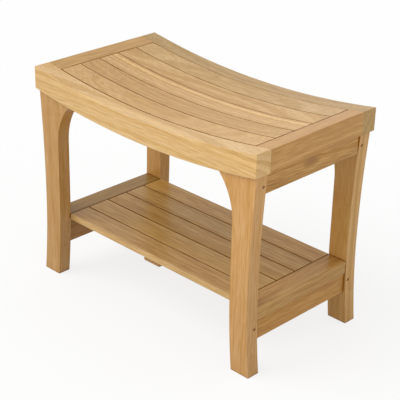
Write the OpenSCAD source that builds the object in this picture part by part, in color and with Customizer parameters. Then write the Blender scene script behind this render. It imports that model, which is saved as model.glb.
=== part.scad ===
// Slatted shower bench with a curved seat, sabre legs and a low shelf.
// X runs along the bench, Y from front to back, Z up. The origin is on the floor,
// under the middle of the seat. All sizes are in millimetres.

/* [Seat] */
// Length of the seat, end to end
seat_l = 602; // [540:1:760]
// Depth of the seat, front to back
seat_w = 330; // [290:1:420]
// Height of the seat at its two ends
seat_h = 457; // [410:1:520]
// How far the middle of the seat sags below its ends
seat_dip = 26; // [14:1:34]

/* [Seat frame] */
// Height of the seat rails
rail_h = 46; // [40:1:56]
// Width of the front and back rails
rail_w = 37; // [32:1:44]
// Width of the end rails
end_rail_w = 36; // [32:1:44]

/* [Seat boards] */
// Thickness of the seat boards
seat_board_t = 15; // [12:1:18]
// Gap between the seat boards, and around them
seat_gap = 2; // [1:0.5:4]

/* [Legs] */
// Thickness of a leg, front to back
leg_t = 28; // [24:1:34]
// Width of a leg at its waist
leg_w = 44; // [38:1:54]
// How far the legs stand in from the front and back of the seat
leg_front_inset = 7.5; // [4:0.5:12]
// How far the legs stand in from the ends of the seat, at top and foot
leg_end_inset = 4.5; // [2:0.5:10]
// How far the outer edge of a leg curves in at its waist
leg_waist_in = 10; // [4:1:16]
// Height of the waist above the floor
leg_waist_z = 175; // [130:5:220]
// Radius of the bracket curve at the top of a leg
bracket_r = 125; // [118:1:160]
// How far the bracket reaches down, from the seat rail's lowest end edge
bracket_drop = 105; // [80:1:110]

/* [Aprons and lower rails] */
// Thickness of the aprons and the lower rails
side_rail_t = 32; // [24:1:34]
// Height of an apron, up to the leg's top outer corner
apron_h = 40; // [34:1:60]
// How far an apron stands in from the leg's outer edge
apron_inset = 0.5; // [0:0.5:5]
// Height of a lower rail
lower_rail_h = 43; // [34:1:60]
// How far a lower rail stands in from the leg's outer edge at the waist
lower_rail_inset = 2; // [0:0.5:6]

/* [Shelf] */
// Height of the top of the shelf
shelf_z = 137; // [125:1:170]
// Thickness of the shelf boards
shelf_board_t = 12; // [10:1:16]
// Height of the shelf's end rails
shelf_end_h = 27; // [22:1:34]
// Width of the shelf's end rails
shelf_end_w = 43; // [38:1:52]
// Gap between the shelf boards
shelf_gap = 3; // [1:0.5:5]
// Gap between the shelf boards' ends and the shelf's end rails
shelf_end_gap = 1.5; // [1:0.5:4]
// How far the shelf's front and back boards stand past its end rails
shelf_lip = 1.5; // [0:0.5:4]

/* [Battens] */
// Width of the two battens
batten_w = 44; // [34:1:60]
// Thickness of the batten under the seat
seat_batten_t = 20; // [14:1:22]
// How deep the seat batten is let into the rails
batten_housing = 8; // [5:1:12]
// Thickness of the batten under the shelf
shelf_batten_t = 12; // [10:1:16]
// How far the shelf batten's ends stay behind the shelf's edges
shelf_batten_inset = 6; // [3:1:20]

/* [Tenons and tongues] */
// Thickness of every tenon
tenon_t = 12; // [8:1:14]
// Length of the tenons on aprons, lower rails and seat end rails
tenon_l = 18; // [14:1:20]
// Height of the tenons on the leg tops
leg_tenon_h = 20; // [12:1:24]
// Shoulder left above and below a tenon, and beside a leg's tenon
shoulder = 6; // [4:1:8]
// Thickness of the tongues on the seat boards
seat_tongue_t = 6; // [4:0.5:7]
// Thickness of the tongues on the shelf boards
shelf_tongue_t = 5; // [3:0.5:6]
// How far a tongue reaches into its groove
tongue_l = 8; // [5:1:10]
// How far a tongue's sides stay behind the board's edges
tongue_side = 5; // [3:1:8]

/* [Pegs] */
// Diameter of the pegs
peg_d = 6.5; // [5:0.5:8]
// Length of the pegs
peg_l = 26; // [22:1:30]
// Distance of a peg's centre from the leg's inner face
peg_back = 8; // [6:0.5:10]
// Height of the upper pegs above the apron's lower edge
apron_peg_rise = 16; // [12:0.5:22]
// Height of the lower pegs above the lower rail's lower edge
lower_peg_rise = 28; // [14:0.5:30]
// How far a peg's end lies below the leg's surface
peg_recess = 1; // [0.5:0.5:3]

/* [Screws] */
// Shank diameter of the screws
screw_d = 4; // [3:0.5:5]
// Head diameter of the screws
screw_head_d = 8; // [7:0.5:9]
// Depth of a screw's countersunk head
screw_head_h = 2.6; // [2.2:0.1:3.2]
// Length of each arm of the cross slot in a screw's head, end to end
slot_l = 4.4; // [3:0.2:5]
// Width of the cross slot
slot_w = 1; // [0.6:0.2:1.4]
// Depth of the cross slot
slot_h = 1.4; // [0.8:0.1:1.8]
// How deep the long screws' heads are sunk into aprons and lower rails
screw_sink = 18; // [12:1:24]
// How deep the long screws grip the rail above
screw_grip = 16; // [10:1:18]
// Wood left between a short screw's tip and the top of the board above it
screw_cover = 4; // [3:0.5:6]
// Distance of the long screws from the legs
screw_from_leg = 45; // [30:1:80]

/* [Fits] */
// Room on each side of a tenon or tongue in its mortise or groove
side_play = 0.15; // [0.05:0.05:0.3]
// Room at the end of a tenon, tongue or screw
end_play = 1; // [0.5:0.5:2]
// Room around a peg or screw in its hole
hole_play = 0.05; // [0.02:0.01:0.1]
// Hairline where the leg tops and aprons meet the curved rails
joint_gap = 0.1; // [0.05:0.05:0.3]

/* [Hidden] */
board_n = 5;

// Smoothness of the long arcs and of the round holes
arc_fn = 720;
hole_fn = 48;
// Cuts run this far past the face they start from
over = 1;

// The seat's arc: radius of the top surface, and the height of its centre
half_l = seat_l / 2;
half_w = seat_w / 2;
seat_r = (half_l * half_l + seat_dip * seat_dip) / (2 * seat_dip);
arc_z = seat_h - seat_dip + seat_r;
// Height of the seat's arc, taken d below the surface, at x
function arc_height(d, x) = arc_z - sqrt((seat_r + d) * (seat_r + d) - x * x);

// Seat frame and boards
rail_in_y = half_w - rail_w;
end_rail_in_x = half_l - end_rail_w;
end_rail_mid_x = half_l - end_rail_w / 2;
seat_board_end_x = end_rail_in_x - seat_gap;
seat_board_w = (2 * rail_in_y - (board_n + 1) * seat_gap) / board_n;
seat_pitch = seat_board_w + seat_gap;
seat_tongue_top = (seat_board_t - seat_tongue_t) / 2;

// Legs: the outer edge runs through the top corner, the waist and the foot
leg_out_x = half_l - leg_end_inset;
waist_x = leg_out_x - leg_waist_in;
leg_in_x = waist_x - leg_w;
leg_front_y = half_w - leg_front_inset;
leg_back_y = leg_front_y - leg_t;
leg_mid_y = leg_front_y - leg_t / 2;
rail_end_z = arc_height(rail_h, half_l);
leg_top_rise = arc_height(rail_h, leg_out_x) - leg_waist_z;
upper_r = (leg_top_rise * leg_top_rise + leg_waist_in * leg_waist_in) / (2 * leg_waist_in);
lower_r = (leg_waist_z * leg_waist_z + leg_waist_in * leg_waist_in) / (2 * leg_waist_in);
bracket_z = rail_end_z - bracket_drop;
// Outer edge of a leg at height z
function leg_edge(z) = z > leg_waist_z
    ? waist_x + upper_r - sqrt(upper_r * upper_r - (z - leg_waist_z) * (z - leg_waist_z))
    : waist_x + lower_r - sqrt(lower_r * lower_r - (z - leg_waist_z) * (z - leg_waist_z));
// Where the bracket's curve meets the underside of the seat rail, found in two steps
function bracket_x(rise) = leg_in_x - bracket_r + sqrt(bracket_r * bracket_r - rise * rise);
bracket_guess_x = bracket_x(arc_height(rail_h, leg_in_x) - bracket_z);
bracket_tip_x = bracket_x(arc_height(rail_h, bracket_guess_x) - bracket_z);
leg_tenon_x0 = bracket_tip_x + 2 * shoulder;
leg_tenon_x1 = end_rail_in_x - shoulder;

// Aprons
apron_z = arc_height(rail_h, leg_out_x) - apron_h;
apron_out_x = leg_edge(apron_z) - apron_inset;
apron_mid_x = apron_out_x - side_rail_t / 2;
apron_top_z = arc_height(rail_h, apron_mid_x);
apron_peg_z = apron_z + apron_peg_rise;

// Shelf and lower rails
shelf_end_out_x = waist_x;
shelf_end_in_x = waist_x - shelf_end_w;
shelf_end_z = shelf_z - shelf_end_h;
shelf_board_end_x = shelf_end_in_x - shelf_end_gap;
shelf_half_w = leg_back_y + shelf_lip;
shelf_board_w = (2 * shelf_half_w - (board_n - 1) * shelf_gap) / board_n;
shelf_pitch = shelf_board_w + shelf_gap;
shelf_board_z = shelf_z - shelf_board_t;
shelf_tongue_z = shelf_z - (shelf_board_t + shelf_tongue_t) / 2;
lower_out_x = waist_x - lower_rail_inset;
lower_mid_x = lower_out_x - side_rail_t / 2;
lower_z = shelf_end_z - lower_rail_h;
lower_peg_z = lower_z + lower_peg_rise;

// Battens and screws; a long screw runs from its sunk head to its grip in the rail above
seat_batten_top = seat_board_t;
seat_batten_z = seat_h - seat_dip - seat_board_t - seat_batten_t;
shelf_batten_z = shelf_board_z - shelf_batten_t;
seat_screw_l = seat_batten_t + seat_board_t - screw_cover;
shelf_screw_l = shelf_batten_t + shelf_board_t - screw_cover;
apron_screw_l = apron_top_z - apron_z - screw_sink + screw_grip;
lower_screw_l = lower_rail_h - screw_sink + screw_grip;
screw_y = leg_back_y - screw_from_leg;

// Teak tones and metal
rail_tone = "#d9b173";
board_tone = "#cda06c";
leg_tone = "#cf9a5b";
side_tone = "#b98448";
shelf_tone = "#b58f5f";
peg_tone = "#7d5630";
screw_tone = "#c9a24a";

// Centre line of board i, front board first
function board_y(i, pitch) = (i - (board_n + 1) / 2) * pitch;

// ---- Shared shapes -------------------------------------------------------

// Extrudes an outline drawn in X and Z from y0 back to y1
module along_y(y0, y1) {
    translate([0, y1, 0])
        rotate([90, 0, 0])
            linear_extrude(height = y1 - y0)
                children();
}

// Outline between two curves d0 and d1 below the seat's surface, from x0 to x1
module seat_band(d0, d1, x0, x1) {
    intersection() {
        translate([0, arc_z])
            difference() {
                circle(r = seat_r + d1, $fn = arc_fn);
                circle(r = seat_r + d0, $fn = arc_fn);
            }
        translate([x0, 0])
            square([x1 - x0, seat_h + over]);
    }
}

// Everything above the curve d below the seat's surface
module above_curve(d) {
    translate([0, arc_z])
        circle(r = seat_r + d, $fn = arc_fn);
}

// Box given by its two corners
module box(a, b) {
    translate(a)
        cube(b - a);
}

// Round bar of diameter d along X, from x0 to x1
module bar_x(d, x0, x1, y, z) {
    translate([x0, y, z])
        rotate([0, 90, 0])
            cylinder(d = d, h = x1 - x0, $fn = hole_fn);
}

// The same piece at both ends of the bench
module both_ends() {
    children();
    mirror([1, 0, 0])
        children();
}

// The same piece at front and back
module front_and_back() {
    children();
    mirror([0, 1, 0])
        children();
}

// Countersunk screw standing on its head at z = 0
module screw(l) {
    difference() {
        union() {
            cylinder(d1 = screw_head_d, d2 = screw_d, h = screw_head_h, $fn = hole_fn);
            cylinder(d = screw_d, h = l, $fn = hole_fn);
        }
        for (turn = [0, 90])
            rotate([0, 0, turn])
                box([-slot_l / 2, -slot_w / 2, -over], [slot_l / 2, slot_w / 2, slot_h]);
    }
}

// Hole for such a screw
module screw_hole(l) {
    cylinder(
        d1 = screw_head_d + 2 * hole_play, d2 = screw_d + 2 * hole_play,
        h = screw_head_h, $fn = hole_fn
    );
    cylinder(d = screw_d + 2 * hole_play, h = l + end_play, $fn = hole_fn);
}

// ---- Seat ----------------------------------------------------------------

// Mortise for a seat end rail, cut from the inner face of the front rail
module end_rail_mortise() {
    along_y(-rail_in_y - tenon_l - end_play, -rail_in_y + over)
        seat_band(
            shoulder - side_play, rail_h - shoulder + side_play,
            end_rail_mid_x - tenon_t / 2 - side_play, end_rail_mid_x + tenon_t / 2 + side_play
        );
}

// Mortise for a leg's top tenon, cut from the underside of the front rail
module leg_top_mortise() {
    along_y(-leg_mid_y - tenon_t / 2 - side_play, -leg_mid_y + tenon_t / 2 + side_play)
        seat_band(
            rail_h - leg_tenon_h - end_play, rail_h + over,
            leg_tenon_x0 - side_play, leg_tenon_x1 + side_play
        );
}

// Housing for the seat batten, cut from the inner face of the front rail
module batten_pocket() {
    along_y(-rail_in_y - batten_housing - end_play, -rail_in_y + over)
        seat_band(
            seat_batten_top - side_play, seat_batten_top + seat_batten_t + side_play,
            -batten_w / 2 - side_play, batten_w / 2 + side_play
        );
}

module long_rail() {
    difference() {
        along_y(-half_w, -rail_in_y)
            seat_band(0, rail_h, -half_l, half_l);
        both_ends() {
            end_rail_mortise();
            leg_top_mortise();
        }
        batten_pocket();
    }
}

module front_seat_rail() {
    color(rail_tone)
        long_rail();
}

module back_seat_rail() {
    color(rail_tone)
        mirror([0, 1, 0])
            long_rail();
}

module right_seat_end_rail() {
    color(side_tone)
        difference() {
            union() {
                along_y(-rail_in_y, rail_in_y)
                    seat_band(0, rail_h, end_rail_in_x, half_l);
                along_y(-rail_in_y - tenon_l, rail_in_y + tenon_l)
                    seat_band(
                        shoulder, rail_h - shoulder,
                        end_rail_mid_x - tenon_t / 2, end_rail_mid_x + tenon_t / 2
                    );
            }
            along_y(-rail_in_y - over, rail_in_y + over)
                seat_band(
                    seat_tongue_top - side_play, seat_tongue_top + seat_tongue_t + side_play,
                    end_rail_in_x - over, end_rail_in_x + tongue_l + end_play
                );
            long_screw_holes(apron_mid_x, apron_z, apron_screw_l);
        }
}

module left_seat_end_rail() {
    mirror([1, 0, 0])
        right_seat_end_rail();
}

module seat_board(i) {
    y = board_y(i, seat_pitch);
    color(board_tone)
        difference() {
            union() {
                along_y(y - seat_board_w / 2, y + seat_board_w / 2)
                    seat_band(0, seat_board_t, -seat_board_end_x, seat_board_end_x);
                along_y(y - seat_board_w / 2 + tongue_side, y + seat_board_w / 2 - tongue_side)
                    seat_band(
                        seat_tongue_top, seat_tongue_top + seat_tongue_t,
                        -end_rail_in_x - tongue_l, end_rail_in_x + tongue_l
                    );
            }
            translate([0, y, seat_batten_z])
                screw_hole(seat_screw_l);
        }
}

module seat_batten() {
    color(side_tone)
        difference() {
            along_y(-rail_in_y - batten_housing, rail_in_y + batten_housing)
                seat_band(
                    seat_batten_top, seat_batten_top + seat_batten_t,
                    -batten_w / 2, batten_w / 2
                );
            for (i = [1 : board_n])
                translate([0, board_y(i, seat_pitch), seat_batten_z])
                    screw_hole(seat_screw_l);
        }
}

// ---- Legs and side frames ------------------------------------------------

// Side view of a right-hand leg, with its bracket pointing inwards
module leg_outline() {
    difference() {
        union() {
            intersection() {
                translate([waist_x + lower_r, leg_waist_z])
                    difference() {
                        circle(r = lower_r + leg_w, $fn = arc_fn);
                        circle(r = lower_r, $fn = arc_fn);
                    }
                translate([leg_in_x, 0])
                    square([leg_w + leg_waist_in + over, leg_waist_z]);
            }
            difference() {
                translate([leg_in_x, leg_waist_z])
                    square([leg_w + leg_waist_in + over, seat_h - leg_waist_z]);
                translate([waist_x + upper_r, leg_waist_z])
                    circle(r = upper_r, $fn = arc_fn);
            }
            difference() {
                translate([leg_in_x - bracket_r, bracket_z])
                    square([bracket_r, bracket_r]);
                translate([leg_in_x - bracket_r, bracket_z])
                    circle(r = bracket_r, $fn = arc_fn);
            }
        }
        above_curve(rail_h + joint_gap);
    }
}

// Mortise in a front leg for a rail whose middle is at x, of height h standing on z
module side_mortise(x, z, h) {
    box(
        [x - tenon_t / 2 - side_play, -leg_back_y - tenon_l - end_play, z + shoulder - side_play],
        [x + tenon_t / 2 + side_play, -leg_back_y + over, z + h - shoulder + side_play]
    );
}

// Hole for a peg in a front leg, drilled from the outer face at height z
module peg_hole(z) {
    bar_x(
        peg_d + 2 * hole_play,
        leg_edge(z) - peg_recess - peg_l - end_play, leg_out_x + over,
        -leg_back_y - peg_back, z
    );
}

module peg(z) {
    bar_x(
        peg_d, leg_edge(z) - peg_recess - peg_l, leg_edge(z) - peg_recess,
        -leg_back_y - peg_back, z
    );
}

module leg() {
    color(leg_tone)
        difference() {
            union() {
                along_y(-leg_front_y, -leg_back_y)
                    leg_outline();
                along_y(-leg_mid_y - tenon_t / 2, -leg_mid_y + tenon_t / 2)
                    seat_band(
                        rail_h - leg_tenon_h, rail_h + joint_gap + over,
                        leg_tenon_x0, leg_tenon_x1
                    );
            }
            side_mortise(apron_mid_x, apron_z, apron_h);
            side_mortise(lower_mid_x, lower_z, lower_rail_h);
            peg_hole(apron_peg_z);
            peg_hole(lower_peg_z);
        }
}

module front_right_leg() {
    leg();
}

module front_left_leg() {
    mirror([1, 0, 0])
        leg();
}

module back_right_leg() {
    mirror([0, 1, 0])
        leg();
}

module back_left_leg() {
    mirror([1, 0, 0])
        mirror([0, 1, 0])
            leg();
}

// Tenons at both ends of a side rail whose middle is at x
module side_tenons(x, z, h) {
    box(
        [x - tenon_t / 2, -leg_back_y - tenon_l, z + shoulder],
        [x + tenon_t / 2, leg_back_y + tenon_l, z + h - shoulder]
    );
}

// Holes for the two screws of length l that come up through a side rail standing on z
module long_screw_holes(x, z, l) {
    for (side = [-1, 1])
        translate([x, side * screw_y, z]) {
            translate([0, 0, -over])
                cylinder(d = screw_head_d + 2 * hole_play, h = screw_sink + over, $fn = hole_fn);
            translate([0, 0, screw_sink])
                screw_hole(l);
        }
}

module long_screws(x, z, l) {
    for (side = [-1, 1])
        translate([x, side * screw_y, z + screw_sink])
            screw(l);
}

module right_apron() {
    color(side_tone)
        difference() {
            union() {
                along_y(-leg_back_y, leg_back_y)
                    difference() {
                        translate([apron_out_x - side_rail_t, apron_z])
                            square([side_rail_t, apron_h + over]);
                        above_curve(rail_h + joint_gap);
                    }
                side_tenons(apron_mid_x, apron_z, apron_h);
            }
            long_screw_holes(apron_mid_x, apron_z, apron_screw_l);
            front_and_back()
                peg_hole(apron_peg_z);
        }
}

module left_apron() {
    mirror([1, 0, 0])
        right_apron();
}

module right_lower_rail() {
    color(side_tone)
        difference() {
            union() {
                box(
                    [lower_out_x - side_rail_t, -leg_back_y, lower_z],
                    [lower_out_x, leg_back_y, shelf_end_z]
                );
                side_tenons(lower_mid_x, lower_z, lower_rail_h);
            }
            long_screw_holes(lower_mid_x, lower_z, lower_screw_l);
            front_and_back()
                peg_hole(lower_peg_z);
        }
}

module left_lower_rail() {
    mirror([1, 0, 0])
        right_lower_rail();
}

// ---- Shelf ---------------------------------------------------------------

module right_shelf_end_rail() {
    color(shelf_tone)
        difference() {
            box(
                [shelf_end_in_x, -leg_back_y, shelf_end_z],
                [shelf_end_out_x, leg_back_y, shelf_z]
            );
            box(
                [shelf_end_in_x - over, -leg_back_y - over, shelf_tongue_z - side_play],
                [
                    shelf_end_in_x + tongue_l + end_play, leg_back_y + over,
                    shelf_tongue_z + shelf_tongue_t + side_play
                ]
            );
            long_screw_holes(lower_mid_x, lower_z, lower_screw_l);
        }
}

module left_shelf_end_rail() {
    mirror([1, 0, 0])
        right_shelf_end_rail();
}

module shelf_board(i) {
    y = board_y(i, shelf_pitch);
    color(shelf_tone)
        difference() {
            union() {
                box(
                    [-shelf_board_end_x, y - shelf_board_w / 2, shelf_board_z],
                    [shelf_board_end_x, y + shelf_board_w / 2, shelf_z]
                );
                box(
                    [
                        -shelf_end_in_x - tongue_l, y - shelf_board_w / 2 + tongue_side,
                        shelf_tongue_z
                    ],
                    [
                        shelf_end_in_x + tongue_l, y + shelf_board_w / 2 - tongue_side,
                        shelf_tongue_z + shelf_tongue_t
                    ]
                );
            }
            translate([0, y, shelf_batten_z])
                screw_hole(shelf_screw_l);
        }
}

module shelf_batten() {
    color(side_tone)
        difference() {
            box(
                [-batten_w / 2, -shelf_half_w + shelf_batten_inset, shelf_batten_z],
                [batten_w / 2, shelf_half_w - shelf_batten_inset, shelf_board_z]
            );
            for (i = [1 : board_n])
                translate([0, board_y(i, shelf_pitch), shelf_batten_z])
                    screw_hole(shelf_screw_l);
        }
}

// ---- Pegs and screws -----------------------------------------------------

module apron_pegs() {
    color(peg_tone)
        both_ends()
            front_and_back()
                peg(apron_peg_z);
}

module lower_rail_pegs() {
    color(peg_tone)
        both_ends()
            front_and_back()
                peg(lower_peg_z);
}

module seat_batten_screws() {
    color(screw_tone)
        for (i = [1 : board_n])
            translate([0, board_y(i, seat_pitch), seat_batten_z])
                screw(seat_screw_l);
}

module shelf_batten_screws() {
    color(screw_tone)
        for (i = [1 : board_n])
            translate([0, board_y(i, shelf_pitch), shelf_batten_z])
                screw(shelf_screw_l);
}

module apron_screws() {
    color(screw_tone)
        both_ends()
            long_screws(apron_mid_x, apron_z, apron_screw_l);
}

module lower_rail_screws() {
    color(screw_tone)
        both_ends()
            long_screws(lower_mid_x, lower_z, lower_screw_l);
}

front_seat_rail();
back_seat_rail();
left_seat_end_rail();
right_seat_end_rail();
seat_board(1);  // seat_board_1
seat_board(2);  // seat_board_2
seat_board(3);  // seat_board_3
seat_board(4);  // seat_board_4
seat_board(5);  // seat_board_5
seat_batten();
front_left_leg();
front_right_leg();
back_left_leg();
back_right_leg();
left_apron();
right_apron();
left_lower_rail();
right_lower_rail();
left_shelf_end_rail();
right_shelf_end_rail();
shelf_board(1);  // shelf_board_1
shelf_board(2);  // shelf_board_2
shelf_board(3);  // shelf_board_3
shelf_board(4);  // shelf_board_4
shelf_board(5);  // shelf_board_5
shelf_batten();
apron_pegs();
lower_rail_pegs();
seat_batten_screws();
shelf_batten_screws();
apron_screws();
lower_rail_screws();
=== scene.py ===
# %% [markdown]
# # A teak shower bench
#
# A small bench with a curved, slatted seat on four sabre legs, and a flat slatted shelf
# between them. The frame that is loaded below already holds every piece at its real size
# and place: rails, boards, legs, aprons, battens, pegs and screws. This script gives the
# pieces what a maker gives them last: eased edges and an oiled finish. It then lights
# them on a pale floor and looks at them from the front right.

# %% Load the frame
from math import cos, degrees, radians, sin

import bmesh
import bpy
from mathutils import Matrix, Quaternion, Vector
from mathutils.bvhtree import BVHTree


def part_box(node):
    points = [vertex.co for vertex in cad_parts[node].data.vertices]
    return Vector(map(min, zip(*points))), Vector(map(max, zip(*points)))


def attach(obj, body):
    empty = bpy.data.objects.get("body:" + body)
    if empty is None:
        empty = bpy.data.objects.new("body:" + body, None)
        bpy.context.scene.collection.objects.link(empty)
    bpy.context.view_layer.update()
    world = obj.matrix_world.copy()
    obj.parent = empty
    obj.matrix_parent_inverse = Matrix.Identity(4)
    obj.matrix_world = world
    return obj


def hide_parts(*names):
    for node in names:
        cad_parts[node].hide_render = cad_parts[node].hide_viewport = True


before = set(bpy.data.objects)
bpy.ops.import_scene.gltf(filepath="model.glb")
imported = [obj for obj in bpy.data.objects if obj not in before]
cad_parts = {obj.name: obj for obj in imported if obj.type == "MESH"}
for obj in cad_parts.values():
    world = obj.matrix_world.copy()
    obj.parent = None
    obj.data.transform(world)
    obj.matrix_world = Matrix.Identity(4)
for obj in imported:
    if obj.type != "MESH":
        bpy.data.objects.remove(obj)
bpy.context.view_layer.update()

MM = 0.001  # the frame is in metres

# %% [markdown]
# ## The camera
#
# The bench is seen from its front right corner, a good arm's length above the seat, with
# a long lens that keeps the rails nearly parallel. The camera turns on a ball head round
# a point near the middle of the bench, so four numbers place it: how far round, how high,
# how far away, and the small tilt of the horizon.

# %% Camera
AIM = Vector((8.8, -0.2, 215.5)) * MM
AZIMUTH = radians(44.17)
ELEVATION = radians(25.64)
ROLL = radians(1.36)
DISTANCE = 2.4665
LENS = 110.4  # millimetres, on a sensor 36 mm wide

back = Vector((sin(AZIMUTH) * cos(ELEVATION), -cos(AZIMUTH) * cos(ELEVATION), sin(ELEVATION)))
camera_data = bpy.data.cameras.new("camera")
camera_data.lens = LENS
camera = bpy.data.objects.new("camera", camera_data)
camera.location = AIM + back * DISTANCE
camera.rotation_mode = "QUATERNION"
camera.rotation_quaternion = back.to_track_quat("Z", "Y") @ Quaternion((0, 0, 1), ROLL)
bpy.context.scene.collection.objects.link(camera)
bpy.context.scene.camera = camera
print("camera at", [round(c, 3) for c in camera.location])

# %% [markdown]
# ## Eased edges
#
# No maker leaves a sawn edge sharp on something that bare legs touch. Every edge that a
# hand can reach gets a few strokes with a plane and sandpaper: about a millimetre and a
# half round, and nearly three on the legs, which knees and toes knock against. An edge
# along a narrow gap gets little more than half of that, and an edge that closes a joint
# stays crisp, with only a hair taken off, so that the joint shows as a fine line.
#
# The edges could be picked by hand, some forty a piece. A rule picks them here. Each piece
# is copied from the frame, its loose triangles are merged, and each sharp outer edge is
# tried: a short ray goes out of the face on either side of it. If both rays meet air, a
# hand reaches the edge. If one of them meets another piece within a millimetre, the edge
# closes a joint, and within four it lines a narrow gap.

# %% How round
EASE = 1.5 * MM  # rounding of an edge that a hand reaches
LEG_EASE = 2.8 * MM  # the same on a leg, which knees and toes knock against
GAP_SHARE = 0.6  # of that rounding, on an edge along a narrow gap
JOINT_SHARE = 0.18  # and on an edge that closes a joint
print("eased by", round(EASE / MM, 1), "mm, legs by", round(LEG_EASE / MM, 1), "mm")

# %% The pieces near a piece
REACH = 1.0 * MM  # another piece nearer than this closes the joint
NARROW = 4.0 * MM  # and nearer than this leaves a narrow gap

boxes = {name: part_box(name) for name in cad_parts}
depsgraph = bpy.context.evaluated_depsgraph_get()
skins = {name: BVHTree.FromObject(piece, depsgraph) for name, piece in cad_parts.items()}


def neighbours(name):
    """The pieces whose boxes come near this one's box."""
    low, high = boxes[name]
    near = []
    for other, (other_low, other_high) in boxes.items():
        apart = max(max(other_low[i] - high[i], low[i] - other_high[i]) for i in range(3))
        if other != name and apart < NARROW:
            near.append(skins[other])
    return near


print("the right apron has", len(neighbours("right_apron")), "pieces near it")

# %% How near the next piece is to an edge
SKIN = 0.05 * MM  # a ray starts this far under the face, to meet faces that touch
INSET = 0.3 * MM  # and this far in from the edge


def room(loop, near):
    """How far it is from this face to another piece, beside this edge of the face."""
    start, end = loop.vert.co, loop.link_loop_next.vert.co
    normal = loop.face.normal
    into_face = normal.cross(end - start).normalized()
    origin = (start + end) / 2 + into_face * INSET - normal * SKIN
    hits = [skin.ray_cast(origin, normal, NARROW + SKIN) for skin in near]
    return min([distance for *_, distance in hits if distance is not None], default=NARROW)


print("each ray starts", round(INSET / MM, 1), "mm in from its edge")

# %% What share of the rounding an edge gets
SHORTEST = 3.0 * MM  # shorter edges belong to drilled holes
SHARP = radians(30)


def edge_weight(edge, near):
    """1 for an edge that a hand reaches, a share along a gap or a joint, else 0."""
    if len(edge.link_faces) != 2 or edge.calc_length() < SHORTEST:
        return 0
    if not edge.is_convex or edge.calc_face_angle() < SHARP:
        return 0
    tight, loose = sorted(room(loop, near) for loop in edge.link_loops)
    if tight < REACH:
        return 0 if loose < REACH else JOINT_SHARE
    return GAP_SHARE if tight < NARROW else 1


print("edges sharper than", round(degrees(SHARP)), "degrees are eased")

# %% [markdown]
# ## One finished piece
#
# A Bevel modifier rounds each edge by its weight, and hardens the normals, which keeps the
# broad faces flat to the light. It stays live, so the width can still be turned.
#
# A ray tries only the middle of an edge. The long edges of a leg run past the side rails,
# and those of the front and back rail run past the end rails. Planes split them there
# first, so that the stretch beside the joint stays crisp and the rest is rounded.

# %% A copy with its edges eased
MERGE = 0.01 * MM  # corners nearer than this are one
FLAT = radians(0.05)  # triangles that turn less than this are one face
ROUND_STEPS = 3  # flat strips that make up a rounding, too fine to tell from a curve


def eased(name, ease, cuts=()):
    """A copy of a piece with its edges eased; cuts are points on an axis to split it at."""
    mesh = bpy.data.meshes.new(name + "_eased")
    shape = bmesh.new()
    shape.from_mesh(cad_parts[name].data)
    bmesh.ops.remove_doubles(shape, verts=shape.verts, dist=MERGE)
    bmesh.ops.dissolve_limit(
        shape, angle_limit=FLAT, verts=shape.verts, edges=shape.edges, delimit={"NORMAL"}
    )
    for cut in cuts:
        everything = shape.verts[:] + shape.edges[:] + shape.faces[:]
        bmesh.ops.bisect_plane(shape, geom=everything, plane_co=cut, plane_no=cut)
    shape.normal_update()
    near = neighbours(name)
    weights = shape.edges.layers.float.new("bevel_weight_edge")
    for edge in shape.edges:
        weight = edge_weight(edge, near)
        edge[weights] = weight if weight == 1 else weight * EASE / ease  # shares are of EASE
    for face in shape.faces:
        face.smooth = True
    shape.to_mesh(mesh)
    shape.free()
    mesh.set_sharp_from_angle(angle=SHARP)

    piece = bpy.data.objects.new(name + "_eased", mesh)
    bpy.context.scene.collection.objects.link(piece)
    rounding = piece.modifiers.new("eased edges", "BEVEL")
    rounding.width = ease
    rounding.segments = ROUND_STEPS
    rounding.limit_method = "WEIGHT"
    rounding.harden_normals = True
    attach(piece, "root")
    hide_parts(name)
    return piece


print("corners within", round(MERGE / MM, 2), "mm merge, edges round in", ROUND_STEPS, "steps")

# %% Where long edges pass a joint
END_JOINTS = [
    Vector((boxes["left_seat_end_rail"][1].x, 0, 0)),
    Vector((boxes["right_seat_end_rail"][0].x, 0, 0)),
]
LEG_JOINTS = [
    Vector((0, 0, boxes["right_lower_rail"][0].z)),
    Vector((0, 0, boxes["right_shelf_end_rail"][1].z)),
    Vector((0, 0, boxes["right_apron"][0].z)),
]
print("legs are split at", [round(cut.z / MM, 1) for cut in LEG_JOINTS], "mm")

# %% Ease every wooden piece but the pegs
FASTENERS = [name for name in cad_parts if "peg" in name or "screw" in name]
boards = {}
for name in sorted(set(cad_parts) - set(FASTENERS)):
    ease, cuts = EASE, ()
    if "leg" in name:
        ease, cuts = LEG_EASE, LEG_JOINTS
    if name in ("front_seat_rail", "back_seat_rail"):
        cuts = END_JOINTS
    boards[name] = eased(name, ease, cuts)
    mesh = boards[name].data
    weight = mesh.attributes["bevel_weight_edge"].data
    print(name, len(mesh.polygons), "faces,", sum(w.value == 1 for w in weight), "edges eased")

# %% [markdown]
# ## The finish
#
# Teak is a golden brown wood with an oily feel. A plank shows the tree that it was sawn
# from: each year's growth is a thin tube round the heart, so a face sawn across the tubes
# shows arches, one sawn along them shows straight lines, and an end shows arcs. Fine
# open pores run along the grain as short dark strokes.
#
# A picture of wood would have to be wrapped round each board and would show its seams.
# The grain is made here as a solid instead, as it is in the tree: the colour of a point
# depends on how far it lies from the tree's heart. Every face of a board then agrees with
# its neighbour, and an end shows arcs without being told to.

# %% Colours
def linear(code):
    """A colour written as sRGB hex, as the linear numbers that the shaders need."""
    channels = [int(code[i : i + 2], 16) / 255 for i in (1, 3, 5)]
    return [c / 12.92 if c <= 0.04045 else ((c + 0.055) / 1.055) ** 2.4 for c in channels] + [1]


print("a tone written #808080 is", round(linear("#808080")[0], 3), "as a number of light")


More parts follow.
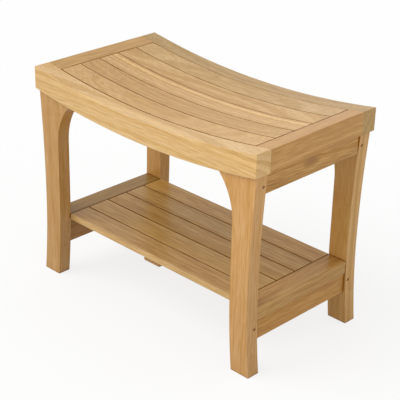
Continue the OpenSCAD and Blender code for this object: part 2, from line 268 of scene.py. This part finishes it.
# %% A small helper for shader nodes
def add(tree, kind, links=None, out=0, **settings):
    """Adds a node with its settings, and with its inputs linked or set; gives one output."""
    node = tree.nodes.new(kind)
    for key, value in settings.items():
        setattr(node, key, value)
    for key, value in (links or {}).items():
        if isinstance(value, bpy.types.NodeSocket):
            tree.links.new(value, node.inputs[key])
        else:
            node.inputs[key].default_value = value
    return None if out is None else node.outputs[out]


print("every shader node below comes from one helper")

# %% [markdown]
# ## Where a point lies in the tree
#
# The grain is worked out in the board's own directions, in millimetres: u runs along the
# grain, v across the board and w through it. The distance of a point from the heart of
# the tree says which year's growth it belongs to. A tree never grows quite straight, so
# this distance strays by a few millimetres, over a forearm's length along the board and
# three fingers' width across it. Round a knot, where a branch grew, the rings part like
# water round a pile.

# %% From the piece to the board
# The turn that brings u along the grain, for boards that run along each axis of the frame.
ALONG = {"X": (0, 0, 0), "Y": (0, 0, radians(90)), "Z": (0, radians(-90), 0)}


def board_space(tree, centre, along, lean):
    """u, v and w in millimetres, with the grain leaning by some degrees off the edges."""
    links = {
        "Vector": add(tree, "ShaderNodeTexCoord", out="Object"),
        "Location": centre,
        "Rotation": [base + radians(extra) for base, extra in zip(ALONG[along], lean)],
        "Scale": (MM, MM, MM),
    }
    return add(tree, "ShaderNodeMapping", links, vector_type="TEXTURE")


print("grain can run along", ", ".join(ALONG))

# %% How far a point is from the heart
STRAY = (260, 55, 55)  # millimetres along, across and through
STRAY_DETAIL = 1.5  # how much finer wandering rides on the slow one


def from_heart(tree, board, heart, wander, seed):
    """Distance from the heart of the tree, strayed by wander at most either way."""
    # A trunk is the same all along, so u counts for nothing here.
    move = {0: board, 1: (0, 1, 1), 2: (0, -heart[0], -heart[1])}
    straight = add(tree, "ShaderNodeVectorMath", move, operation="MULTIPLY_ADD")
    radius = add(tree, "ShaderNodeVectorMath", {0: straight}, "Value", operation="LENGTH")
    spot = {0: board, 1: [1 / size for size in STRAY], 2: (seed, seed, 0)}
    spot = add(tree, "ShaderNodeVectorMath", spot, operation="MULTIPLY_ADD")
    links = {"Vector": spot, "Scale": 1.0, "Detail": STRAY_DETAIL}
    noise = add(tree, "ShaderNodeTexNoise", links)
    links = {"Value": noise, "To Min": -wander, "To Max": wander}
    stray = add(tree, "ShaderNodeMapRange", links)
    return add(tree, "ShaderNodeMath", {0: radius, 1: stray}, operation="ADD")


print("rings stray over", STRAY[0], "mm along a board and", STRAY[1], "mm across it")

# %% Rings round a knot
KNOT_LENGTH = 0.55  # a knot looks stretched along the grain, by one over this
KNOT_CORE = 0.5  # the dark core, in sizes of the knot
KNOT_PULL = 4.5  # how far off the rings part, in sizes of the knot


def round_knot(tree, board, radius, knot):
    """The same distance with the rings parted round a knot, and how far off the knot is."""
    place_u, place_w, size = knot
    aside = add(
        tree, "ShaderNodeVectorMath", {0: board, 1: (place_u, 0, place_w)}, operation="SUBTRACT"
    )
    flat = {0: aside, 1: (KNOT_LENGTH, 0, 1)}
    flat = add(tree, "ShaderNodeVectorMath", flat, operation="MULTIPLY")
    off = add(tree, "ShaderNodeVectorMath", {0: flat}, "Value", operation="LENGTH")
    above = {0: aside, 1: (0, 0, 1)}
    above = add(tree, "ShaderNodeVectorMath", above, "Value", operation="DOT_PRODUCT")
    near = {"Value": off, "From Min": KNOT_PULL * size, "From Max": KNOT_CORE * size}
    near = add(tree, "ShaderNodeMapRange", near, interpolation_type="SMOOTHSTEP")
    push = add(tree, "ShaderNodeMath", {0: near, 1: above}, operation="MULTIPLY")
    return add(tree, "ShaderNodeMath", {0: radius, 1: push}, operation="SUBTRACT"), off


print("rings part up to", KNOT_PULL, "times the size of a knot away")

# %% [markdown]
# ## The colour of teak
#
# In each year's growth the early wood is a light honey and the late wood a browner line.
# The rings of plantation teak are 2 to 4 mm wide. A pixel of the picture covers 2 mm of
# the bench, so most of them are drawn some 9 mm wide, and the finer ones about 4 mm.
# Between them the fibres make streaks a few centimetres long and 2 mm across.
#
# Noise that reads only the distance from the heart is the same all the way round it, so
# it makes rings. Noise in the board's own directions, stretched along u, makes streaks.
# Both are added up to one value, the grain, and a narrow part of its range is spread
# from late to early wood. How narrow that part is sets the contrast.

# %% Fibres
FIBRE = (34, 2.0, 2.0)  # millimetres along, across and through
FIBRE_DETAIL = 2.0


def streaks(tree, board, seed):
    """The fibres, as noise stretched along the board."""
    spot = {0: board, 1: [1 / size for size in FIBRE], 2: (seed, seed, 0)}
    spot = add(tree, "ShaderNodeVectorMath", spot, operation="MULTIPLY_ADD")
    links = {"Vector": spot, "Scale": 1.0, "Detail": FIBRE_DETAIL}
    return add(tree, "ShaderNodeTexNoise", links)


print("fibres", FIBRE[0], "mm long and", FIBRE[1], "mm wide")

# %% Rings
RING_MIX = {9.0: 0.3, 4.0: 0.22}  # width in millimetres: its share in the grain
RING_DETAIL = 1.0


def ringed(tree, fibres, radius, seed):
    """The grain: the fibres and the rings, each with its share."""
    part = 1 - sum(RING_MIX.values())
    grain = add(tree, "ShaderNodeMath", {0: fibres, 1: part}, operation="MULTIPLY")
    for width, part in RING_MIX.items():
        year = {0: radius, 1: 1 / width, 2: seed + width}
        year = add(tree, "ShaderNodeMath", year, operation="MULTIPLY_ADD")
        links = {"W": year, "Scale": 1.0, "Detail": RING_DETAIL}
        ring = add(tree, "ShaderNodeTexNoise", links, noise_dimensions="1D")
        links = {0: ring, 1: part, 2: grain}
        grain = add(tree, "ShaderNodeMath", links, operation="MULTIPLY_ADD")
    return grain


print("share of the fibres in the grain:", round(1 - sum(RING_MIX.values()), 2))

# %% Early and late wood
EARLY = (1.11, 1.18, 1.42)  # shares of the board's own tone, as red, green and blue
LATE = (0.86, 0.78, 0.46)
SPREAD = 0.12  # either side of the middle of the grain's range


def toned(tone, shares):
    """A tone with each channel multiplied by its share."""
    return [channel * share for channel, share in zip(linear(tone), shares)] + [1]


def early_and_late(tree, grain, tone, figure):
    """The grain as a colour; a figure above 1 makes the contrast stronger."""
    spread = SPREAD / figure
    links = {"Value": grain, "From Min": 0.5 - spread, "From Max": 0.5 + spread}
    share = add(tree, "ShaderNodeMapRange", links, interpolation_type="SMOOTHSTEP")
    links = {"Factor": share, "A": toned(tone, LATE), "B": toned(tone, EARLY)}
    return add(tree, "ShaderNodeMix", links, "Result", data_type="RGBA")


print("light honey to browner:", [round(late / early, 2) for late, early in zip(LATE, EARLY)])

# %% [markdown]
# ## Pores, clouds and bands
#
# Teak's pores are open tubes 0.3 mm wide, seen on a planed face as fine dark strokes.
# They are drawn 1.5 mm wide, the finest that the picture can show. Besides them a board
# has slow clouds of a browner shade, a hand long and a thumb wide, and now and then a
# band of a few years that came out lighter or darker than the rest.
#
# All three are drawn in the same way: a share between 0 and 1 says where they are, and
# the wood is multiplied by their colour there. So they tint the grain and never hide it.

# %% Pores
TINT = dict(data_type="RGBA", blend_type="MULTIPLY")  # a Mix node that tints the wood
PORE = (45, 1.5, 1.2)  # millimetres along, across and through
PORE_NOISE = (0.46, 0.68)  # noise from plain wood to an open pore
HOLLOW = (0.70, 0.60, 0.40)  # what a pore leaves of the wood's red, green and blue


def pored(tree, board, wood, seed, amount):
    """The wood with its open pores."""
    spot = {0: board, 1: [1 / size for size in PORE], 2: (seed, 0, seed)}
    spot = add(tree, "ShaderNodeVectorMath", spot, operation="MULTIPLY_ADD")
    pores = add(tree, "ShaderNodeTexNoise", {"Vector": spot, "Scale": 1.0, "Detail": 0.0})
    low, high = PORE_NOISE
    links = {"Value": pores, "From Min": low, "From Max": high, "To Max": amount}
    share = add(tree, "ShaderNodeMapRange", links, interpolation_type="SMOOTHSTEP")
    links = {"Factor": share, "A": wood, "B": HOLLOW + (1,)}
    return add(tree, "ShaderNodeMix", links, "Result", **TINT)


print("pores", PORE[0], "mm long and", PORE[1], "mm wide")

# %% Clouds
CLOUD = (120, 26, 26)  # millimetres along, across and through
CLOUD_DETAIL = 2.0
CLOUD_NOISE = (0.4, 0.65)  # noise from plain wood to a full cloud
ROSY = (0.96, 0.92, 0.82)  # what a cloud leaves of red, green and blue


def clouded(tree, board, wood, seed, amount):
    """The wood with its clouds, and the clouds themselves."""
    spot = {0: board, 1: [1 / size for size in CLOUD], 2: (0, seed, seed)}
    spot = add(tree, "ShaderNodeVectorMath", spot, operation="MULTIPLY_ADD")
    links = {"Vector": spot, "Scale": 1.0, "Detail": CLOUD_DETAIL}
    cloud = add(tree, "ShaderNodeTexNoise", links)
    low, high = CLOUD_NOISE
    links = {"Value": cloud, "From Min": low, "From Max": high, "To Max": amount}
    share = add(tree, "ShaderNodeMapRange", links, interpolation_type="SMOOTHSTEP")
    links = {"Factor": share, "A": wood, "B": ROSY + (1,)}
    return add(tree, "ShaderNodeMix", links, "Result", **TINT), cloud


print("clouds", CLOUD[0], "mm long and", CLOUD[1], "mm wide")

# %% Bands
BAND_EDGE = (1.4, 0.4)  # where a band starts and where it is full, in halves of its width
BREAK_NOISE = (0.35, 0.6)  # the clouds' noise, from where a band is broken up to where not
BROKEN = 0.5  # what is left of the band there
PALE = (1.28, 1.37, 1.48)  # the shares of red, green and blue in a lighter band
BROWN = (0.66, 0.56, 0.42)  # and in a darker one


def banded(tree, wood, radius, cloud, band):
    """The wood with one band of other years, broken up by the clouds."""
    middle_radius, half_width, strength = band
    off = add(tree, "ShaderNodeMath", {0: radius, 1: middle_radius}, operation="SUBTRACT")
    off = add(tree, "ShaderNodeMath", {0: off}, operation="ABSOLUTE")
    start, full = (half_width * edge for edge in BAND_EDGE)
    links = {"Value": off, "From Min": start, "From Max": full, "To Max": abs(strength)}
    share = add(tree, "ShaderNodeMapRange", links, interpolation_type="SMOOTHSTEP")
    low, high = BREAK_NOISE
    links = {"Value": cloud, "From Min": low, "From Max": high, "To Min": BROKEN}
    broken = add(tree, "ShaderNodeMapRange", links)
    share = add(tree, "ShaderNodeMath", {0: share, 1: broken}, operation="MULTIPLY")
    links = {"Factor": share, "A": wood, "B": (PALE if strength > 0 else BROWN) + (1,)}
    return add(tree, "ShaderNodeMix", links, "Result", **TINT)


print("a broken band keeps", BROKEN, "of its strength")

# %% [markdown]
# ## Knots, painted shade and drift
#
# A knot is the stub of a branch, dark in its core, and it stains the wood round it. It is
# painted where the rings were parted for it above.
#
# The gaps and inner corners are painted a deep brown: painted shade, where little light
# reaches. An Ambient Occlusion node finds them: it asks how much of the air within
# 4 mm of a point is free. This painted shade tints the wood like the marks above. A board
# also drifts in tone from end to end: partly its own tone, and partly painted light and
# shade, lighter where the lamp falls and darker towards the floor.

# %% The core of a knot
KNOT_STAIN = 3.0  # how far off the wood is stained, in sizes of the knot
CORE = (0.64, 0.55, 0.48)  # shares of the board's own tone in the core


def knotted(tree, wood, off_knot, size, tone):
    """The wood with the dark core of a knot."""
    links = {"Value": off_knot, "From Min": KNOT_STAIN * size, "From Max": KNOT_CORE * size}
    core = add(tree, "ShaderNodeMapRange", links, interpolation_type="SMOOTHSTEP")
    links = {"Factor": core, "A": wood, "B": toned(tone, CORE)}
    return add(tree, "ShaderNodeMix", links, "Result", data_type="RGBA")


print("a knot stains the wood up to", KNOT_STAIN, "times its size away")

# %% Drift and painted shade
CREVICE = 4 * MM  # how far into a corner the painted shade reaches
AIR_RAYS = 8  # tries at how much of the air is free
CLOSED, OPEN = 0.45, 0.9  # the share of the air that is free, in a gap and where the painted shade stops
CREVICE_SHADE = (0.50, 0.25, 0.04)  # what the painted shade in gaps and corners leaves of the wood's red, green and blue


def shaded_and_drifted(tree, board, wood, half, light_and_tone_ends):
    """The wood drifting from end to end, partly as painted light, with painted shade in gaps and
    corners.
    """
    links = {0: board, 1: (1, 0, 0)}
    place = add(tree, "ShaderNodeVectorMath", links, "Value", operation="DOT_PRODUCT")
    links = dict(zip(("From Min", "From Max", "To Min", "To Max"), (-half, half) + light_and_tone_ends))
    drift = add(tree, "ShaderNodeMapRange", {"Value": place, **links})
    air = add(tree, "ShaderNodeAmbientOcclusion", {"Distance": CREVICE}, "AO", samples=AIR_RAYS)
    share = add(tree, "ShaderNodeMapRange", {"Value": air, "From Min": OPEN, "From Max": CLOSED})
    links = {"Factor": share, "A": wood, "B": CREVICE_SHADE + (1,)}
    wood = add(tree, "ShaderNodeMix", links, "Result", **TINT)
    return add(tree, "ShaderNodeVectorMath", {0: wood, "Scale": drift}, operation="SCALE")


# the painted shade reaches this far from a corner
print("painted_shade within", round(CREVICE / MM, 1), "mm of a corner")

# %% [markdown]
# ## Oiled teak
#
# The finish is a rubbed oil: it soaks in and leaves a low satin sheen. So the wood keeps
# an IOR of about 1.5, a roughness near a third, a little less rough where the fibres
# are dense, and a specular level below the usual half on the rubbed parts that face
# down or sideways. A bump of under half a millimetre raises the hard late wood, as years
# of sanding and washing do. Late wood has the grain's low values, so the bump is inverted.

# %% One board of oiled teak
RELIEF = 0.4 * MM
RELIEF_STRENGTH = 0.25  # most of it is sanded away
OILED_IOR = 1.5
DENSITY = (0.35, 0.65)  # noise from dense to loose fibres
SATIN = (0.28, 0.38)  # roughness from dense to loose fibres


def oiled_teak(name, centre, along, tone, heart, half=100.0, seed=0.0, wander=6.0, figure=1.0,
               lean=(0, 0, 0), light_and_tone_ends=(1.0, 1.0), bands=(), knot=None, sheen=0.3,
               open_pores=0.7, mottle=0.8):
    """Oiled teak for one board.

    centre and along place the board and its grain. heart is where the heart of the tree
    lies in v and w, wander is how far the rings stray, and figure is their contrast. The
    shares of the tone at either end, half a length from the middle, are partly the board's
    own drift and partly painted light and shade. A band has the radius at its middle, half
    its width, and how strongly it is paler, or browner where that is negative. A knot has
    its place in u and w, and its size. sheen is how strongly the oil shines, and open_pores
    and mottle how strongly pores and clouds show.
    """
    material = bpy.data.materials.new(name)
    material.use_nodes = True
    tree = material.node_tree
    tree.nodes.clear()
    board = board_space(tree, centre, along, lean)
    radius = from_heart(tree, board, heart, wander, seed)
    if knot:
        radius, off_knot = round_knot(tree, board, radius, knot)

    fibres = streaks(tree, board, seed)
    grain = ringed(tree, fibres, radius, seed)
    wood = early_and_late(tree, grain, tone, figure)
    wood = pored(tree, board, wood, seed, open_pores)
    wood, cloud = clouded(tree, board, wood, seed, mottle)
    for band in bands:
        wood = banded(tree, wood, radius, cloud, band)
    if knot:
        wood = knotted(tree, wood, off_knot, knot[2], tone)
    # painted shade in gaps and corners, and a tone drift that carries painted light
    wood = shaded_and_drifted(tree, board, wood, half, light_and_tone_ends)

    relief = {"Height": grain, "Strength": RELIEF_STRENGTH, "Distance": RELIEF}
    links = {"Value": fibres, "From Min": DENSITY[0], "From Max": DENSITY[1]}
    links.update({"To Min": SATIN[0], "To Max": SATIN[1]})
    finish = {
        "Base Color": wood,
        "Roughness": add(tree, "ShaderNodeMapRange", links),
        "IOR": OILED_IOR,
        "Specular IOR Level": sheen,
        "Normal": add(tree, "ShaderNodeBump", relief, invert=True),  # late wood is low
    }
    skin = add(tree, "ShaderNodeBsdfPrincipled", finish)
    add(tree, "ShaderNodeOutputMaterial", {"Surface": skin}, None)
    return material


print("satin, with a roughness from", SATIN[0], "to", SATIN[1])

# %% [markdown]
# ## Choosing the boards
#
# A maker looks through the stack and picks a board for each place. The pale honey ones,
# with the most even grain, go to the rails that are seen first. Browner ones go to the
# shelf, and a knotty offcut is good enough for an apron. So each piece below has its own
# tone, its own place in the tree, and now and then a band or a knot. The shares of the
# tone at either end are partly the board's own drift and partly painted light and shade:
# the feet are darker towards the floor, and the seat boards lighter towards the right,
# which tilts to the lamp.

# %% The boards
SEAT = dict(sheen=0.5, open_pores=0.6, mottle=0.5)
SHELF = dict(open_pores=0.7, mottle=0.8)
SIDE = dict(open_pores=0.4, mottle=0.8)
LEG = dict(open_pores=0.15, mottle=1.0, figure=0.65)
# the shares at either end of a board are partly its own drift and partly painted light and shade
BOARDS = {
    "front_seat_rail": dict(
        SEAT, tone="#ddb476", light_and_tone_ends=(0.99, 1.03), heart=(-27, -40), figure=0.62,
        # the first pale band is partly a paler streak of grain and partly a painted highlight
        # along the top front edge
        bands=[(55.5, 2.5, 0.5), (64, 4, -0.15)], open_pores=0.4, mottle=0.4,
    ),
    "back_seat_rail": dict(SEAT, tone="#b69050", light_and_tone_ends=(0.98, 1.04), heart=(60, -40)),
    "left_seat_end_rail": dict(SEAT, tone="#c69955", heart=(30, -60)),
    "right_seat_end_rail": dict(
        SIDE, tone="#c79347", light_and_tone_ends=(1.03, 0.99), heart=(-40, 90), figure=1.1, sheen=0.5
    ),
    # the seat boards' shares rise to the right: painted light, where the seat tilts to the lamp
    "seat_board_1": dict(SEAT, tone="#d3a663", light_and_tone_ends=(0.95, 1.05), heart=(10, -80)),
    "seat_board_2": dict(SEAT, tone="#c69851", light_and_tone_ends=(0.95, 1.05), heart=(90, -60)),
    "seat_board_3": dict(
        SEAT, tone="#d1a461", light_and_tone_ends=(0.95, 1.05), heart=(-140, -6), bands=[(154, 5, 0.8)]
    ),
    "seat_board_4": dict(SEAT, tone="#cc9f59", light_and_tone_ends=(0.95, 1.05), heart=(40, 120)),
    "seat_board_5": dict(SEAT, tone="#c9a05f", light_and_tone_ends=(0.98, 1.0), heart=(-20, -150)),
    "seat_batten": dict(tone="#b88a52", heart=(30, 60)),
    # the legs' shares are painted shade: darker at the feet, towards the floor
    "front_left_leg": dict(LEG, tone="#c0945c", light_and_tone_ends=(0.95, 1.06), heart=(20, 5), wander=14),
    "front_right_leg": dict(LEG, tone="#d09f62", light_and_tone_ends=(0.86, 1.06), heart=(-60, 40)),
    "back_left_leg": dict(LEG, tone="#c0904d", heart=(70, 30)),
    "back_right_leg": dict(LEG, tone="#c99b5a", light_and_tone_ends=(0.97, 1.04), heart=(-90, -20)),
    "left_apron": dict(SIDE, tone="#b07f48", heart=(60, -40)),
    "right_apron": dict(
        SIDE, tone="#c7964e", heart=(20, -70), figure=1.3, knot=(-8, 8, 6), lean=(0, 3, 0),
        light_and_tone_ends=(1.04, 1.0), bands=[(66, 9, -0.4), (90, 8, 0.25)], open_pores=0.8,
    ),
    "left_lower_rail": dict(SIDE, tone="#ae7f48", heart=(60, 40)),
    "right_lower_rail": dict(SIDE, tone="#bf8a3d", heart=(-60, 60)),
    "left_shelf_end_rail": dict(SHELF, tone="#977434", heart=(50, 90)),
    "right_shelf_end_rail": dict(SHELF, tone="#be914d", light_and_tone_ends=(1.02, 0.96), heart=(-70, 80)),
    # its pale band is a painted highlight along the front edge
    "shelf_board_1": dict(SHELF, tone="#bd955a", heart=(80, 0), wander=2, bands=[(106, 3, 0.6)]),
    "shelf_board_2": dict(SHELF, tone="#be9754", heart=(80, 30)),
    "shelf_board_3": dict(SHELF, tone="#bb9452", heart=(-30, 90)),
    "shelf_board_4": dict(SHELF, tone="#ba9453", heart=(60, -70)),
    "shelf_board_5": dict(SHELF, tone="#c09653", heart=(-90, 30)),
    "shelf_batten": dict(tone="#b08450", heart=(60, 60)),
}

print("tones chosen for", len(BOARDS), "boards")

# %% Dress the boards
SEED_STEP = 17.3  # takes each board from another place in the tree
for number, (name, look) in enumerate(BOARDS.items(), start=1):
    low, high = boxes[name]
    along = "Z" if "leg" in name else "Y"
    if "board" in name or name in ("front_seat_rail", "back_seat_rail"):
        along = "X"
    half = (high - low)["XYZ".index(along)] / 2 / MM
    look.update(centre=(low + high) / 2, along=along, half=half, seed=number * SEED_STEP)
    boards[name].data.materials.append(oiled_teak(name + "_oiled_teak", **look))
print(len(BOARDS), "boards dressed")

# %% [markdown]
# ## Pegs and screws
#
# The pegs that pin the tenons are dowels of the same teak, sawn off a millimetre under the
# surface. End grain drinks more oil than a planed face, so a peg shows browner than the
# leg round it.
#
# The screws are brass, which doesn't rust in a shower. They are pressed cold and tumbled,
# so they are an even, warm yellow with a soft shine. Damp air then tarnishes them in
# patches that are browner and duller. Pegs and screws keep the meshes of the frame: they
# are too small for an eased edge to show, and need only their finish.

# %% Tumbled brass
BRIGHT, TARNISHED = "#d0aa55", "#8f6f3e"
SHINE = (0.28, 0.5)  # roughness of bright and of tarnished brass
PATCH = 2.5 * MM  # across a patch of tarnish
PATCH_NOISE = (0.45, 0.65)  # noise from bright to tarnished
PATCH_DETAIL = 3.0


def tumbled_brass(name):
    """Tumbled brass: a warm yellow metal with soft highlights and dull brown patches."""
    material = bpy.data.materials.new(name)
    material.use_nodes = True
    tree = material.node_tree
    tree.nodes.clear()
    spot = add(tree, "ShaderNodeTexCoord", out="Object")
    links = {"Vector": spot, "Scale": 1 / PATCH, "Detail": PATCH_DETAIL}
    noise = add(tree, "ShaderNodeTexNoise", links)
    links = {"Value": noise, "From Min": PATCH_NOISE[0], "From Max": PATCH_NOISE[1]}
    tarnish = add(tree, "ShaderNodeMapRange", links, interpolation_type="SMOOTHSTEP")
    links = {"Factor": tarnish, "A": linear(BRIGHT), "B": linear(TARNISHED)}
    colour = add(tree, "ShaderNodeMix", links, "Result", data_type="RGBA")
    links = {"Value": tarnish, "To Min": SHINE[0], "To Max": SHINE[1]}
    dullness = add(tree, "ShaderNodeMapRange", links)
    finish = {"Base Color": colour, "Roughness": dullness, "Metallic": 1.0}
    skin = add(tree, "ShaderNodeBsdfPrincipled", finish)
    add(tree, "ShaderNodeOutputMaterial", {"Surface": skin}, None)
    return material


print("tarnish in patches", round(PATCH / MM, 1), "mm across")

# %% Dress the pegs and the screws
peg_look = dict(centre=(0, 0, 0), along="X", tone="#ab8150", heart=(10, 10))
peg_wood = oiled_teak("peg_oiled_teak", **peg_look)
brass = tumbled_brass("tumbled_brass")
for name in FASTENERS:
    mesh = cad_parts[name].data
    mesh.materials.clear()
    mesh.materials.append(peg_wood if "peg" in name else brass)
    print(name, "in", mesh.materials[0].name)

# %% [markdown]
# ## Floor and light
#
# The bench stands on a matt white floor in a plain white studio. One big soft lamp hangs
# in front of it on the left, so the seat and the front are bright, the right side lies in
# half shade, and all shadows are soft. Its strength is set so that a colour comes out
# about as light as it is written.
#
# A photographer lights a white background on its own, or it comes out grey. The Light Path
# node does that here. To the camera, and in reflections, floor and sky are white. To the
# wood they are a plain pale studio, so that they don't flood it with light. What the
# camera sees of the floor is partly its own glow and partly lit, which keeps the shadow.

# %% What the camera sees, straight or in a reflection
def mirrored_or_seen(tree):
    """1 on rays from the camera, and on those that a gloss or a glass sends on, else 0."""
    seen = 0.0
    for ray in ("Is Camera Ray", "Is Glossy Ray", "Is Transmission Ray"):
        ray = add(tree, "ShaderNodeLightPath", out=ray)
        seen = add(tree, "ShaderNodeMath", {0: seen, 1: ray}, operation="MAXIMUM")
    return seen


print("white to the camera, and in every reflection")

# %% Floor
FLOOR_RADIUS = 12.0
FLOOR_SIDES = 64
floor_shape = bmesh.new()
bmesh.ops.create_circle(floor_shape, cap_ends=True, radius=FLOOR_RADIUS, segments=FLOOR_SIDES)
floor_mesh = bpy.data.meshes.new("floor")
floor_shape.to_mesh(floor_mesh)
floor_shape.free()
floor = bpy.data.objects.new("floor", floor_mesh)
bpy.context.scene.collection.objects.link(floor)
print("floor", round(2 * FLOOR_RADIUS), "m across")

# %% Matt white paint
WHITE = (0.99, 0.99, 0.99, 1)
PAINT = (0.8, 0.8, 0.8, 1)  # what the floor throws back at the wood
GLOW = 0.8  # share of its own light in what the camera sees of the floor

floor_paint = bpy.data.materials.new("matt white floor")
floor_paint.use_nodes = True
tree = floor_paint.node_tree
tree.nodes.clear()
matt = add(tree, "ShaderNodeBsdfDiffuse", {"Color": PAINT})
lit = add(tree, "ShaderNodeBsdfDiffuse", {"Color": WHITE})
glow = add(tree, "ShaderNodeEmission", {"Color": WHITE, "Strength": 1.0})
backdrop = add(tree, "ShaderNodeMixShader", {"Fac": GLOW, 1: lit, 2: glow})
looked_at = mirrored_or_seen(tree)
both = add(tree, "ShaderNodeMixShader", {"Fac": looked_at, 1: matt, 2: backdrop})
add(tree, "ShaderNodeOutputMaterial", {"Surface": both}, None)
floor_mesh.materials.append(floor_paint)
print("floor in", floor_paint.name)

# %% Sky
SKY_LIGHT = 0.72  # to the wood; the camera sees it at 1, which is white
world = bpy.data.worlds.new("studio")
bpy.context.scene.world = world
world.use_nodes = True
tree = world.node_tree
tree.nodes.clear()
looked_at = mirrored_or_seen(tree)
level = add(tree, "ShaderNodeMapRange", {"Value": looked_at, "To Min": SKY_LIGHT, "To Max": 1.0})
sky = add(tree, "ShaderNodeBackground", {"Color": (1, 1, 1, 1), "Strength": level})
add(tree, "ShaderNodeOutputWorld", {"Surface": sky}, None)
print("sky at", SKY_LIGHT)

# %% Soft lamp
LAMP_FROM = Vector((-0.45, -0.6, 0.66))
LAMP_STRENGTH = 1.35
LAMP_WIDTH = radians(50)  # as seen from the bench: wide, for soft shadows
lamp_data = bpy.data.lights.new("softbox", "SUN")
lamp_data.energy = LAMP_STRENGTH
lamp_data.angle = LAMP_WIDTH
lamp = bpy.data.objects.new("softbox", lamp_data)
lamp.rotation_mode = "QUATERNION"
lamp.rotation_quaternion = LAMP_FROM.to_track_quat("Z", "Y")
bpy.context.scene.collection.objects.link(lamp)
bpy.context.scene.view_settings.view_transform = "Standard"
print("lamp at", round(degrees(LAMP_FROM.angle(Vector((0, 0, 1))))), "degrees from straight above")
